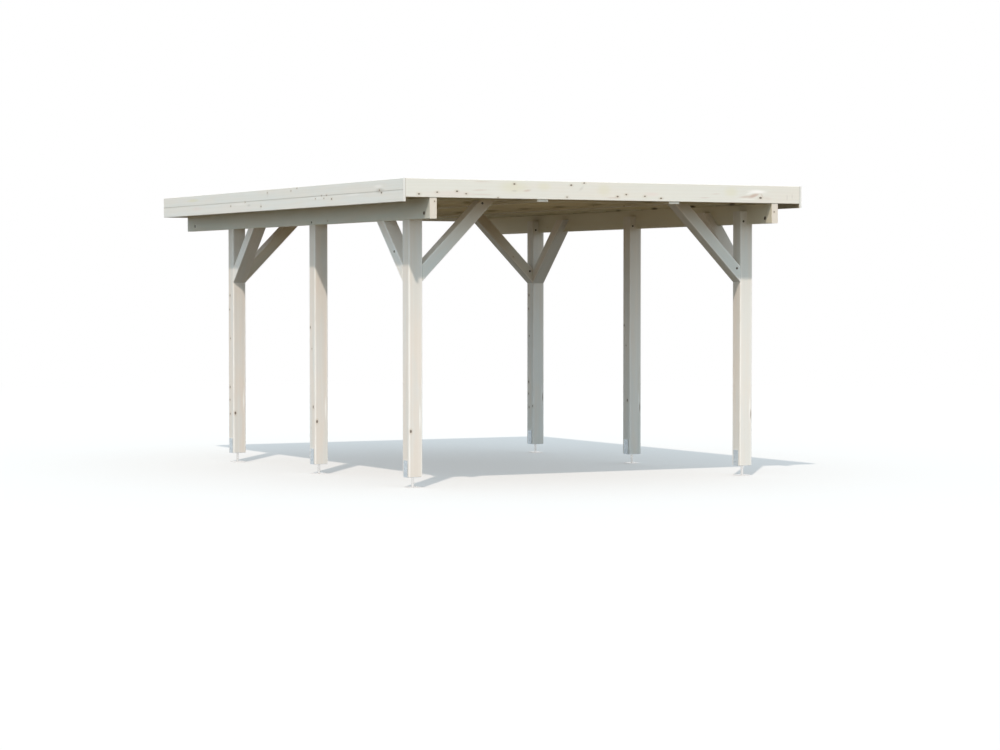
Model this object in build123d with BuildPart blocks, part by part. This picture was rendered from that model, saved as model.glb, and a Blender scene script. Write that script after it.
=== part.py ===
"""A flat-roofed timber carport: six square posts on steel feet, two side beams let
into the post tops, knee braces at the four corner posts, rafters across the beams,
a boarded roof and fascia boards round its edge.

Millimetres. X runs across the front, Y from front to back, Z up. The origin is on
the ground under the middle of the roof. The front is at -Y.
"""
import os

from build123d import *

os.makedirs("parts", exist_ok=True)

# Posts and their feet
POST = 120.0            # square post section
POST_ACROSS = 3220.0    # over the outer faces of the left and right posts
POST_BASE = 87.0        # underside of the posts above the ground
PLATE = 105.0           # square base plate of a post foot
PLATE_T = 6.0
STEM_D = 22.0           # round stem between base plate and cradle
CRADLE_W = 70.0         # U-shaped cradle that grips the post left and right
CRADLE_T = 4.0
CRADLE_H = 130.0        # height of its side plates above the post's underside

# Side beams, let into the outer side of the post tops
BEAM_T = 60.0
BEAM_H = 165.0
BEAM_BASE = 2126.0      # underside of the beams above the ground
BEAM_PROUD = 2.5        # how far a beam stands out past the posts' outer faces
LAP_H = 110.0           # height of the tongues that stand inside the beams
BEAM_SET_BACK = 5.0     # beam ends behind the face of the front fascia
POCKET_D = 30.0         # round bolt pockets in both faces of a beam
POCKET_DEEP = 12.0
POCKET_UP = 45.0        # above the beam's underside
POCKET_FRONT = 103.0    # from the beam's front end
POCKET_BACK = 192.0     # from its back end

# Knee braces at 45 degrees
BRACE = 96.0            # depth of a brace across its length
BRACE_DROP = 488.0      # foot of a brace below the beams

# Roof
ROOF_L = 5240.0         # over the fascia boards, front to back
FRONT_OVER = 387.5      # roof in front of the front posts
BACK_OVER = 1040.5      # roof behind the back posts
SIDE_OVER = 233.5       # roof outside the posts, left and right
RAFTERS = 9
RAFTER_T = 45.0
RAFTER_H = 120.0
DECK_T = 20.0
FELT_T = 3.0
BATTEN_W = 98.0         # flat battens nailed under the rafters
BATTEN_T = 19.0
BATTEN_X = 610.0        # centre of each batten from the middle of the roof
BATTEN_SET_BACK = 12.0

# Fascia boards
FASCIA_T = 22.0
FRONT_FASCIA_H = 145.0
SIDE_BOARD_H = 90.0     # two of these stand one above the other

# Rounding of planed edges
POST_EASE = 8.0         # posts and braces
BEAM_EASE = 5.0
BOARD_EASE = 3.0

# Derived levels and lines
POST_X = POST_ACROSS / 2 - POST / 2
ROOF_W = POST_ACROSS + 2 * SIDE_OVER
POST_STEP = (ROOF_L - FRONT_OVER - POST - BACK_OVER) / 2
FRONT_Y = -ROOF_L / 2
BACK_Y = ROOF_L / 2
POST_YS = [FRONT_Y + FRONT_OVER + POST / 2 + i * POST_STEP for i in range(3)]
BEAM_TOP = BEAM_BASE + BEAM_H
TONGUE = POST - BEAM_T + BEAM_PROUD
FASCIA_TOP = BEAM_TOP + FRONT_FASCIA_H
INNER_W = ROOF_W - 2 * FASCIA_T
INNER_L = ROOF_L - 2 * FASCIA_T
SIDES = (("left", -1), ("right", 1))


def save(name, made):
    made.part.label = name
    export_step(made.part, f"parts/{name}.step")


def block(x0, x1, y0, y1, z0, z1, along=None, ease=0.0):
    """A timber with the given limits; its edges along one axis may be eased."""
    with BuildPart() as piece:
        with BuildSketch(Plane.XY.offset(z0)):
            with Locations(((x0 + x1) / 2, (y0 + y1) / 2)):
                Rectangle(x1 - x0, y1 - y0)
        extrude(amount=z1 - z0)
        if ease:
            fillet(piece.edges().filter_by(along), ease)
    return piece


def post(side, y):
    """A square post whose top is cut back to a tongue on the inner side."""
    x = side * POST_X
    with BuildPart() as piece:
        with BuildSketch(Plane.XY.offset(POST_BASE)):
            with Locations((x, y)):
                Rectangle(POST, POST)
        extrude(amount=BEAM_BASE + LAP_H - POST_BASE)
        fillet(piece.edges().filter_by(Axis.Z), POST_EASE)
        with BuildSketch(Plane.XY.offset(BEAM_BASE)):
            with Locations((x + side * TONGUE, y)):
                Rectangle(POST, POST)
        extrude(amount=LAP_H, mode=Mode.SUBTRACT)
    return piece


def foot(side, y):
    """A square base plate, a round stem, and a U-shaped cradle round the post's end."""
    x = side * POST_X
    cradle_z = POST_BASE - CRADLE_T
    with BuildPart() as piece:
        with BuildSketch():
            with Locations((x, y)):
                Rectangle(PLATE, PLATE)
        extrude(amount=PLATE_T)
        with BuildSketch(Plane.XY.offset(PLATE_T)):
            with Locations((x, y)):
                Circle(STEM_D / 2)
        extrude(amount=cradle_z - PLATE_T)
        with BuildSketch(Plane.XY.offset(cradle_z)):
            with Locations((x, y)):
                Rectangle(POST + 2 * CRADLE_T, CRADLE_W)
        extrude(amount=CRADLE_T)
        with BuildSketch(Plane.XY.offset(POST_BASE)):
            for way in (-1, 1):
                with Locations((x + way * (POST + CRADLE_T) / 2, y)):
                    Rectangle(CRADLE_T, CRADLE_W)
        extrude(amount=CRADLE_H)
    return piece


def side_beam(side):
    """A beam with a round bolt pocket near each end, cut into both of its faces."""
    outer = side * (POST_ACROSS / 2 + BEAM_PROUD)
    inner = outer - side * BEAM_T
    front = FRONT_Y + BEAM_SET_BACK
    back = BACK_Y - FASCIA_T
    pocket_z = BEAM_BASE + POCKET_UP
    with BuildPart() as piece:
        add(block(min(outer, inner), max(outer, inner), front, back,
                  BEAM_BASE, BEAM_TOP, Axis.Y, BEAM_EASE).part)
        for face, into in ((outer, -side), (inner, side)):
            view = Plane(origin=(face, 0, 0), x_dir=(0, into, 0), z_dir=(into, 0, 0))
            with BuildSketch(view):
                with Locations((into * (front + POCKET_FRONT), pocket_z),
                               (into * (back - POCKET_BACK), pocket_z)):
                    Circle(POCKET_D / 2)
            extrude(amount=POCKET_DEEP, mode=Mode.SUBTRACT)
    return piece


def brace_outline(foot_z, top_z):
    """Side view of a 45 degree brace: out along the first axis, up along the second."""
    depth = BRACE * 2 ** 0.5
    return (
        (0, foot_z),
        (top_z - foot_z, top_z),
        (top_z - foot_z - depth, top_z),
        (0, foot_z + depth),
    )


def cross_brace(side, y):
    """A brace that rises from a corner post inward to the tie over the posts."""
    start = side * (POST_X - POST / 2)
    view = Plane(origin=(start, y, 0), x_dir=(-side, 0, 0), z_dir=(0, side, 0))
    with BuildPart() as piece:
        with BuildSketch(view):
            Polygon(*brace_outline(BEAM_BASE - BRACE_DROP, BEAM_TOP), align=None)
        extrude(amount=POST / 2, both=True)
        fillet(long_edges(piece), POST_EASE)
    return piece


def side_brace(side, y, way):
    """A brace that rises from a corner post along the side, way 1 to the back, -1 to
    the front. It meets the beam from below, and its inner part goes on up beside the
    beam as far as the post's tongue does."""
    start = y + way * POST / 2
    foot_z = BEAM_BASE - BRACE_DROP
    view = Plane(origin=(side * POST_X, start, 0), x_dir=(0, way, 0), z_dir=(way, 0, 0))
    lap_out = BRACE_DROP + LAP_H
    lap_x = side * (POST_X - POST / 2 + TONGUE)
    with BuildPart() as piece:
        with BuildSketch(view):
            Polygon(*brace_outline(foot_z, BEAM_BASE + LAP_H), align=None)
        extrude(amount=POST / 2, both=True)
        fillet(long_edges(piece), POST_EASE)
        with Locations((lap_x + side * POST / 2, start + way * lap_out / 2, BEAM_BASE)):
            Box(POST, 2 * lap_out, 2 * LAP_H, mode=Mode.SUBTRACT,
                align=(Align.CENTER, Align.CENTER, Align.MIN))
    return piece


def long_edges(piece):
    """The four edges that run the length of a brace."""
    return piece.edges().sort_by(Edge.length)[-4:]


# Posts, feet and beams
for side_name, side in SIDES:
    for place, y in zip(("front", "middle", "back"), POST_YS):
        save(f"post_{place}_{side_name}", post(side, y))
        save(f"post_foot_{place}_{side_name}", foot(side, y))

    save(f"side_beam_{side_name}", side_beam(side))

# Braces at the corner posts
for side_name, side in SIDES:
    for place, y, way in (("front", POST_YS[0], 1), ("back", POST_YS[2], -1)):
        save(f"cross_brace_{place}_{side_name}", cross_brace(side, y))
        save(f"side_brace_{place}_{side_name}", side_brace(side, y, way))

# Rafters across the beams, and a wider tie over each pair of corner posts
step = (INNER_L - RAFTER_T) / (RAFTERS - 1)
for i in range(RAFTERS):
    y = FRONT_Y + FASCIA_T + i * step
    save(f"rafter_{i + 1}",
         block(-INNER_W / 2, INNER_W / 2, y, y + RAFTER_T,
               BEAM_TOP, BEAM_TOP + RAFTER_H))
for place, y in (("front", POST_YS[0]), ("back", POST_YS[2])):
    save(f"brace_tie_{place}",
         block(-INNER_W / 2, INNER_W / 2, y - POST / 2, y + POST / 2,
               BEAM_TOP, BEAM_TOP + RAFTER_H))

# Battens under the rafters, and the roof over them
for side_name, side in SIDES:
    save(f"batten_{side_name}",
         block(side * BATTEN_X - BATTEN_W / 2, side * BATTEN_X + BATTEN_W / 2,
               FRONT_Y + BATTEN_SET_BACK, BACK_Y - FASCIA_T,
               BEAM_TOP - BATTEN_T, BEAM_TOP))
deck_base = BEAM_TOP + RAFTER_H
save("roof_boards",
     block(-INNER_W / 2, INNER_W / 2, -INNER_L / 2, INNER_L / 2,
           deck_base, deck_base + DECK_T))
save("roof_felt",
     block(-INNER_W / 2, INNER_W / 2, -INNER_L / 2, INNER_L / 2,
           deck_base + DECK_T, deck_base + DECK_T + FELT_T))

# Fascia boards: one across the front, two high along the sides and the back
save("fascia_front",
     block(-INNER_W / 2, INNER_W / 2, FRONT_Y, FRONT_Y + FASCIA_T,
           BEAM_TOP, FASCIA_TOP, Axis.X, BOARD_EASE))
for level, top in (("upper", FASCIA_TOP), ("lower", FASCIA_TOP - SIDE_BOARD_H)):
    save(f"fascia_back_{level}",
         block(-INNER_W / 2, INNER_W / 2, BACK_Y - FASCIA_T, BACK_Y,
               top - SIDE_BOARD_H, top, Axis.X, BOARD_EASE))
    for side_name, side in SIDES:
        outer = side * ROOF_W / 2
        inner = outer - side * FASCIA_T
        save(f"fascia_{side_name}_{level}",
             block(min(outer, inner), max(outer, inner), FRONT_Y, BACK_Y,
                   top - SIDE_BOARD_H, top, Axis.Y, BOARD_EASE))
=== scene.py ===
# %% [markdown]
# # A timber carport, dressed in Blender
# The carport comes from CAD as an exact frame: posts, beams, braces, rafters, boards and feet, each a
# node of its own. This script keeps those nodes where they are and gives them their looks. It adds
# only what is too small or too soft in outline for the CAD: the joints of the roof boards, the laps
# of the felt, and the heads of screws and bolts.

import math

import bpy
import numpy as np
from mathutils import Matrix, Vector


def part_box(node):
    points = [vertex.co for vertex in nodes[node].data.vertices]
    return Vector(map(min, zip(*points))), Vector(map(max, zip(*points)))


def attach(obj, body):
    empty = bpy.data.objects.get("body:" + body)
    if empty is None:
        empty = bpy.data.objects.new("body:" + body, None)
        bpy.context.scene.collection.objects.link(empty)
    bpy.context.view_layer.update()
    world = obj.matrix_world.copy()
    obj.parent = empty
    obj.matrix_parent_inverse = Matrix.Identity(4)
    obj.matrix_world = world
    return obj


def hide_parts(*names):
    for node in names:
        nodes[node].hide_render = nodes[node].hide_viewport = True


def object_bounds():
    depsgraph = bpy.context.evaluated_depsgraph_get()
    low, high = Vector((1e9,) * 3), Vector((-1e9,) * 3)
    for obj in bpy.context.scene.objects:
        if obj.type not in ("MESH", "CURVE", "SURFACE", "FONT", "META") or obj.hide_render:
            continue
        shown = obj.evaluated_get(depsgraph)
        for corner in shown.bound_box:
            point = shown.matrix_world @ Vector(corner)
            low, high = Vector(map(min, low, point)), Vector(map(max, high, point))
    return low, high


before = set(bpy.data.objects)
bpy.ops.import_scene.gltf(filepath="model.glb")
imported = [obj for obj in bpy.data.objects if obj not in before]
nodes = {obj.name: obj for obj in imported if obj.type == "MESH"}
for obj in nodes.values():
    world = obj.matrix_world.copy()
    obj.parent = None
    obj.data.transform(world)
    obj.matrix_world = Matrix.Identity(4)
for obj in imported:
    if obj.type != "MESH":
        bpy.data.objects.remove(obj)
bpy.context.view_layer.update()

# %% [markdown]
# ## Sums instead of wires
# A material is a tree of nodes with wires between them. Written out in full, each node takes four or
# five lines, and the formula is hard to see. Here, what comes out of a node is kept as a value that
# can be added, multiplied and so on, and each such step adds a node to the tree. Wherever a value is
# asked for, a plain number or a tuple will do too.


# %% Values and nodes
class Value:
    """What comes out of a node: a number, a vector or a colour."""

    def __init__(self, socket):
        self.socket, self.tree = socket, socket.id_data

    def __add__(self, other):
        return calculate("ADD", self, other)

    def __sub__(self, other):
        return calculate("SUBTRACT", self, other)

    def __rsub__(self, other):
        return calculate("SUBTRACT", other, self)

    def __mul__(self, other):
        return calculate("MULTIPLY", self, other)

    def __truediv__(self, other):
        return calculate("DIVIDE", self, other)

    def __abs__(self):
        return calculate("ABSOLUTE", self)


def feed(socket, value):
    """Sets a socket to a number or a tuple, or wires a value to it."""
    if isinstance(value, Value):
        value.tree.links.new(value.socket, socket)
    else:
        socket.default_value = (*value, 1.0) if socket.type == "RGBA" else value


def fill(made, *values, **inputs):
    """Feeds a node's inputs, in their order or by name with spaces written as _."""
    sockets = [socket for socket in made.inputs if socket.enabled]
    named = {socket.name.replace(" ", "_"): socket for socket in sockets}
    for socket, value in [*zip(sockets, values), *((named[k], v) for k, v in inputs.items())]:
        feed(socket, value)


def node(tree, kind, settings=None, *values, **inputs):
    """Adds a shader node with its settings and inputs; returns its outputs by name."""
    made = tree.nodes.new(f"ShaderNode{kind}")
    for key, value in (settings or {}).items():
        setattr(made, key, value)
    fill(made, *values, **inputs)
    return {socket.name: Value(socket) for socket in made.outputs if socket.enabled}


def calculate(operation, *values):
    """One node of arithmetic, on vectors if the first value is a vector."""
    first = next(value for value in values if isinstance(value, Value))
    kind = "VectorMath" if first.socket.type == "VECTOR" else "Math"
    return next(iter(node(first.tree, kind, {"operation": operation}, *values).values()))


# %% Helpers for what comes up often
def object_place(tree):
    """A point's place in the object's own frame, which is the carport's."""
    return node(tree, "TexCoord")["Object"]


def axes(place):
    """A vector's three numbers, X, Y and Z."""
    return node(place.tree, "SeparateXYZ", Vector=place)


def blend(share, first, second, kind="RGBA"):
    """Mixes two colours, or two numbers if the kind is FLOAT, by a share from 0 to 1."""
    return node(share.tree, "Mix", {"data_type": kind}, Factor=share, A=first, B=second)["Result"]


def between(value, low, high, to_low=0.0, to_high=1.0, smooth=True):
    """Maps low..high to to_low..to_high and holds it at the ends."""
    kind = "SMOOTHSTEP" if smooth else "LINEAR"
    return node(value.tree, "MapRange", {"interpolation_type": kind}, Value=value, From_Min=low,
                From_Max=high, To_Min=to_low, To_Max=to_high)["Result"]


def noise(place, scale, detail=2.0, roughness=0.5):
    """A cloud pattern from 0 to 1, stretched by scale, a number of cells a metre per axis."""
    return node(place.tree, "TexNoise", Vector=place * scale, Scale=1.0, Detail=detail,
                Roughness=roughness)["Fac"]


def new_group(name, vectors, numbers, results, gives="Float"):
    """An empty node group with named vector and number inputs, and results of one kind; returns
    its tree, what it is given and the sockets of its results."""
    tree = bpy.data.node_groups.new(name, "ShaderNodeTree")
    for way, kind, labels in (("INPUT", "Vector", vectors), ("INPUT", "Float", numbers),
                              ("OUTPUT", gives, results)):
        for label in labels.split():
            tree.interface.new_socket(label, in_out=way, socket_type=f"NodeSocket{kind}")
    given = {socket.name: Value(socket) for socket in tree.nodes.new("NodeGroupInput").outputs}
    print("group:", name)
    return tree, given, tree.nodes.new("NodeGroupOutput").inputs


def use_group(group, place, **inputs):
    """Uses a node group at a place, with its other inputs by name; returns its outputs."""
    return node(place.tree, "Group", {"node_tree": group}, place, **inputs)


print("helpers ready")

# %% [markdown]
# ## Where a point lies in its own timber
# All six posts share one recipe, and so do all nine rafters. If each read the wood pattern from the
# same spot, they would look cloned, and in one big block of wood the pattern would run on from one
# into the next. So a first group finds which timber a point is in, counting in regular steps from
# the first, gives the point's place from that timber's middle, and throws three dice for it, which
# shift the patterns of the next groups.

# %% Group: place in the timber
place_group, given, result = new_group("place_in_timber", "Vector Middle Step", "Seed", "Place Dice",
                                       "Vector")
from_first = given["Vector"] - given["Middle"]
count = calculate("FLOOR", from_first / given["Step"] + (0.5, 0.5, 0.5))
feed(result["Place"], from_first - count * given["Step"])
dice = node(place_group, "TexWhiteNoise", {"noise_dimensions": "4D"}, Vector=count, W=given["Seed"])
feed(result["Dice"], dice["Color"])

# %% [markdown]
# ## The grain of spruce
# A tree grows a pale ring and a dark line each year. A sawn timber cuts through those rings, so its
# faces show long lines where the cut runs with the trunk, arches where the trunk curved, and arcs on
# the sawn ends. One solid pattern gives all three: the distance from the pith, bent a little along
# the length, which is the first axis. Knots are where branches grew through. The grain flows round
# them, so each knot also pushes the rings aside.

# %% Group: spruce grain, its random knots
BRANCH_CELLS = (6.0, 20.0, 20.0)    # cells a metre in which a branch may have grown
KNOT_RADII = (0.003, 0.011)
grain_group, given, result = new_group("spruce_grain", "Vector Dice", "Knots Push",
                                       "Rings Bands Fibre Patches Knot Rim Height")
here = given["Vector"] + given["Dice"] * (37.0, 3.0, 5.0)
branches = node(grain_group, "TexVoronoi", Vector=here * BRANCH_CELLS, Scale=1.0)
to_branch = (here - branches["Position"] / BRANCH_CELLS) * (0.75, 1.0, 1.0)
chance = node(grain_group, "SeparateColor", Color=branches["Color"])
grown = calculate("LESS_THAN", chance["Red"], given["Knots"])
knot_r = grown * between(chance["Green"], 0.0, 1.0, *KNOT_RADII, smooth=False)
past = calculate("LENGTH", to_branch) - knot_r
core = grown * between(past, 0.0006, -0.0012)
rim = grown * between(past, 0.009, 0.0)
feed(result["Knot"], core)
feed(result["Rim"], rim)

# %% Group: spruce grain, its rings
PITH_Y, PITH_Z = (-0.05, 0.05), (0.03, 0.11)    # where the pith may lie, off the timber's middle
BEND_DEEP, RIPPLE_DEEP, KNOT_PUSH = 0.050, 0.004, 0.007
YEAR = 0.0038                                   # from one ring to the next
across, tossed = axes(given["Vector"]), axes(given["Dice"])
pith_y = between(tossed["Y"], 0.0, 1.0, *PITH_Y, smooth=False)
pith_z = between(tossed["Z"], 0.0, 1.0, *PITH_Z, smooth=False)
off_pith = node(grain_group, "CombineXYZ", Y=across["Y"] - pith_y, Z=across["Z"] + pith_z)["Vector"]
bend = noise(here, (0.55, 2.5, 2.5), 1.0) * BEND_DEEP
ripple = noise(here, (3.0, 14.0, 14.0), 1.0) * RIPPLE_DEEP
aside = (rim + given["Push"]) * KNOT_PUSH
radius = calculate("LENGTH", off_pith) + (bend + ripple + aside)
phase = calculate("SINE", radius * (2 * math.pi / YEAR))
rings = calculate("POWER", between(phase, -1.0, 1.0, smooth=False), 2.0)
ring_line = node(grain_group, "CombineXYZ", X=radius, Y=tossed["X"])["Vector"]
bands = noise(ring_line, (75.0, 40.0, 1.0), 1.5)
feed(result["Rings"], rings * between(bands, 0.3, 0.75, 0.35, 1.0))
feed(result["Bands"], between(bands, 0.32, 0.70))

# %% Group: spruce grain, its fibre, patches and height
fibre = noise(here, (16.0, 520.0, 520.0))
feed(result["Fibre"], fibre)
feed(result["Patches"], between(noise(here, (1.3, 9.0, 9.0), 3.0, 0.55), 0.34, 0.66))
feed(result["Height"], rings * 0.55 + fibre * 0.45 - core)

# %% [markdown]
# ## Knots and streaks at chosen places
# Most knots may fall anywhere, but the front board, the left boards and the posts have some that
# anyone who knows this carport would look for. A third group draws one knot at one place. Beside a
# knot the grain often swirls into a reddish or a pale streak, and the stain has soft patches of its
# own. A fourth group draws these as soft ellipses: a Mapping node moves the point to the middle,
# turns it, and divides by the streak's reach, so the ellipse becomes a ball of radius 1.

# %% Group: one placed knot
knot_group, given, result = new_group("placed_knot", "Vector Centre Squeeze", "Size", "Knot Rim")
away = (given["Vector"] - given["Centre"]) * given["Squeeze"]
past = calculate("LENGTH", away) - given["Size"]
feed(result["Knot"], between(past, 0.0010, -0.0014))
feed(result["Rim"], between(past, 0.016, 0.0))

# %% Group: one placed streak
streak_group, given, result = new_group("placed_streak", "Vector Centre Turn Reach", "", "Streak")
own = node(streak_group, "Mapping", {"vector_type": "TEXTURE"}, Vector=given["Vector"],
           Location=given["Centre"], Rotation=given["Turn"], Scale=given["Reach"])["Vector"]
feed(result["Streak"], between(calculate("LENGTH", own), 1.0, 0.15))

# %% [markdown]
# ## Rounded edges
# A planer rounds the long edges of a timber by a few millimetres. The rounding catches more light,
# so the edges get a painted highlight and look paler than the faces. A point near a long edge is far
# out both ways across the grain, so the smaller of the two distances tells it from the faces. A slow
# noise along the edge makes the painted highlight come and go a little.

# %% Group: painted edge highlight
edge_group, given, result = new_group("pale_edge", "Vector Half", "Round", "Edge")
inside = axes(abs(given["Vector"]) - given["Half"])
reach = calculate("MINIMUM", inside["Y"], inside["Z"]) / given["Round"]
wavering = between(noise(given["Vector"], (5.0, 30.0, 30.0)), 0.30, 0.55, 0.55, 1.0)
feed(result["Edge"], between(reach, -1.75, -1.15) * wavering)

# %% [markdown]
# ## White-stained timber
# The posts, beams, braces and fascia boards are planed spruce under a white stain that lets the wood
# through a little. So the colour starts as a warm and a cool white in long soft patches, the rings
# and bands darken it slightly, the rounded edges get a painted highlight, and knots show brown. Sawn
# ends drink the stain, so they take a tone of their own. A Bump node raises the hard ring lines.

# %% Colours of stained wood, and the ways the grain can run
WARM_WHITE, COOL_WHITE = (0.870, 0.822, 0.765), (0.835, 0.838, 0.815)
# The edge white is a painted highlight for the rounded edges.
EDGE_HIGHLIGHT, PALE = (0.950, 0.938, 0.915), (0.960, 0.950, 0.930)
RING_TONE, END_TONE = (0.560, 0.490, 0.370), (0.700, 0.620, 0.500)
KNOT_BROWN, RIM_TONE = (0.085, 0.052, 0.030), (0.560, 0.470, 0.350)
RIM_SHARE, KNOT_SHARE, BAND_SHARE = 0.30, 0.88, 0.45
KNOT_STRETCH = 0.4      # how much longer a knot is along the grain
FIBRE_ROUGH = 0.22      # spread of the roughness between fibres
EDGE_ROUND = 0.008
FAR = 100.0             # a step so long that there is only one timber along it
QUARTER = math.pi / 2   # of a full turn
GRAIN_X = ((0.0, 0.0, 0.0), (1.0, 0.0, 0.0))
GRAIN_Y = ((0.0, 0.0, -QUARTER), (0.0, 1.0, 0.0))
GRAIN_Z = ((0.0, QUARTER, 0.0), (0.0, 0.0, 1.0))


# %% The timber finish
def new_material(name):
    """A fresh material; returns it, its tree and its Principled shader."""
    made = bpy.data.materials.new(name)
    made.use_nodes = True
    return made, made.node_tree, made.node_tree.nodes["Principled BSDF"]


def overlay(made, colour, share, mask=None):
    """Lays a colour over what a finish has already, by a share from 0 to 1, times a mask if any."""
    socket = made.node_tree.nodes["Principled BSDF"].inputs["Base Color"]
    if mask is not None:
        share = mask * share
    feed(socket, blend(share, Value(socket.links[0].from_socket), colour))


def timber_finish(name, middle, step, turn, along, seed, whites=(WARM_WHITE, COOL_WHITE),
                  knots=0.03, placed=(), streaks=(), line=0.12, rough=0.60, shine=0.35, half=None,
                  highlight_share=0.75, ends=(END_TONE, 0.25)):
    """A timber material. middle and step tell the timbers apart, turn brings the grain to the first
    axis, and along is the grain's direction. knots is the chance of a random knot, placed holds
    (centre, size) of chosen knots, and streaks holds (centre, turn, reach, colour, share). line is
    how far the rings darken the wood. half is half the section, for a painted highlight on the edges
    by a share, and ends is the tone of the sawn ends with its share."""
    made, tree, shader = new_material(name)
    at = object_place(tree)
    spot = use_group(place_group, at, Middle=middle, Step=step, Seed=seed)
    turned = node(tree, "Mapping", Vector=spot["Place"], Rotation=turn)["Vector"]
    squeeze = tuple(1.0 - KNOT_STRETCH * abs(share) for share in along)
    own_knot, own_rim = 0.0, 0.0
    for centre, size in placed:
        one = use_group(knot_group, at, Centre=centre, Squeeze=squeeze, Size=size)
        own_knot = calculate("MAXIMUM", own_knot, one["Knot"])
        own_rim = calculate("MAXIMUM", own_rim, one["Rim"])
    grain = use_group(grain_group, turned, Dice=spot["Dice"], Knots=knots, Push=own_rim)
    fill(shader, Base_Color=blend(grain["Patches"], *whites))
    overlay(made, RING_TONE, line, grain["Rings"])
    overlay(made, RING_TONE, line * BAND_SHARE, grain["Bands"])
    if half:
        edge = use_group(edge_group, turned, Half=(FAR, *half), Round=EDGE_ROUND)
        # a painted highlight on the rounded edges
        overlay(made, EDGE_HIGHLIGHT, highlight_share, edge["Edge"])
    for centre, lean, reach, colour, share in streaks:
        one = use_group(streak_group, at, Centre=centre, Turn=lean, Reach=reach)
        overlay(made, colour, share, one["Streak"])
    sawn = abs(calculate("DOT_PRODUCT", node(tree, "NewGeometry")["Normal"], along))
    overlay(made, *ends, between(sawn, 0.90, 0.97))
    overlay(made, RIM_TONE, RIM_SHARE, calculate("MAXIMUM", grain["Rim"], own_rim))
    overlay(made, KNOT_BROWN, KNOT_SHARE, calculate("MAXIMUM", grain["Knot"], own_knot))
    bump = node(tree, "Bump", Strength=0.35, Distance=0.0008, Height=grain["Height"] - own_knot)
    fill(shader, Roughness=grain["Fibre"] * FIBRE_ROUGH + rough - FIBRE_ROUGH / 2,
         Specular_IOR_Level=shine, Normal=bump["Normal"])
    return made


print("timber finish ready")

# %% [markdown]
# ## Tones by place
# One timber isn't the same tone all over. Here most such tones are painted light and shade: painted
# shade browns the wood towards the roof and greys or browns the faces that look down, and painted
# light pales the faces that look up. Three helpers lay such a tone over a finish: along an axis, on
# all faces that look down or up, and on the inner faces of a left and a right timber.


# %% Tones by place
def tone_along(made, axis, low, high, tone, share):
    """Lays a tone on by a share that grows from 0 at low to its full value at high."""
    place = axes(object_place(made.node_tree))[axis]
    overlay(made, tone, between(place, low, high, 0.0, share))


def tone_facing(made, way, tone, share):
    """Lays a tone on the faces that look down (way -1) or up (way 1)."""
    upward = axes(node(made.node_tree, "NewGeometry")["Normal"])["Z"]
    overlay(made, tone, between(upward, 0.30 * way, 0.60 * way, 0.0, share))


def tone_inside(made, inner, depth, tone, share):
    """Lays a tone on the faces that look to the carport's middle. They are at inner from it on both
    sides, and the tone fades out by depth into the timber."""
    off_middle = abs(axes(object_place(made.node_tree))["X"])
    overlay(made, tone, between(off_middle, inner + depth, inner + depth - 0.003, 0.0, share))


print("tones by place ready")


# %% Measure the timbers and dress them
def middle_of(name):
    """The middle of a CAD node's box."""
    low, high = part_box(name)
    return (low + high) / 2


def set_apart(first, other):
    """A timber's middle, and the step from it to another one: FAR where they don't differ."""
    gap = middle_of(other) - middle_of(first)
    return tuple(middle_of(first)), tuple(v if abs(v) > 0.001 else FAR for v in gap)


def dress(names, finish):
    """Gives CAD nodes a finish in every material slot they have."""
    for name in names:
        for slot in nodes[name].material_slots:
            slot.material = finish
    print(finish.name, "on", len(names), "nodes")


post_low, post_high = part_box("post_front_left")
beam_low, beam_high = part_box("side_beam_left")
print("posts", round(post_high.x - post_low.x, 3), "m wide, beams from", round(beam_low.z, 3), "m up")

# %% [markdown]
# ## Posts, beams and braces
# The grain of each timber runs along its length: up in the posts, front to back in the beams and at
# 45 degrees in the braces. The finishes differ in that turn, in the step between timbers, in their
# whites and in their knots. The left and the right posts get a finish each. All six were cut alike:
# a long pale streak runs low down on the right of each front face, and on the right posts a narrow
# knot lies beside it. A chosen knot is given by its post, its distance from the middle of the face,
# its height and its size. Painted shade darkens the posts a little towards the top, and their tongues
# more.

# %% Knots and streaks of the posts
POST_ROWS = ("front", "middle", "back")
ON_FRONT_FACES = [("front", -44, 450, 8), ("middle", -42, 450, 8), ("back", -43, 450, 8)]
ON_LEFT_FACES = [("back", 20, 1523, 7), ("back", 30, 1393, 6), ("back", 12, 1130, 5),
                 ("back", 24, 685, 7), ("back", 28, 570, 6), ("back", 18, 440, 6),
                 ("middle", 40, 1252, 7), ("middle", 4, 1070, 4), ("middle", -20, 574, 8)]
# for each side the axis along the face, 0 on the front faces and 1 on the left ones, with its knots
POST_KNOTS = {"left": [(0, ON_FRONT_FACES), (1, ON_LEFT_FACES)],
              "right": [(1, ON_LEFT_FACES + [("back", -50, 454, 5)])]}
LEVEL = (0.0, 0.0, 0.0)
PALE_IN, PALE_UP, PALE_REACH = 0.024, 0.560, (0.010, 0.020, 0.140)
NARROW_IN, NARROW_REACH = 0.013, (0.009, 0.020, 0.065)
NARROW_UP = {"front": 0.521, "middle": 0.511, "back": 0.539}
NARROW_BROWN = (0.240, 0.160, 0.110)


def post_knots(side):
    """Places and sizes of one side's chosen knots, on the front and the left faces of its posts."""
    made = []
    for axis, knots in POST_KNOTS[side]:
        for row, off, height, size in knots:
            low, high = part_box(f"post_{row}_{side}")
            place = [low.x, low.y, height / 1000]
            place[axis] = (low[axis] + high[axis]) / 2 + off / 1000
            made.append((tuple(place), size / 1000))
    return made


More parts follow.
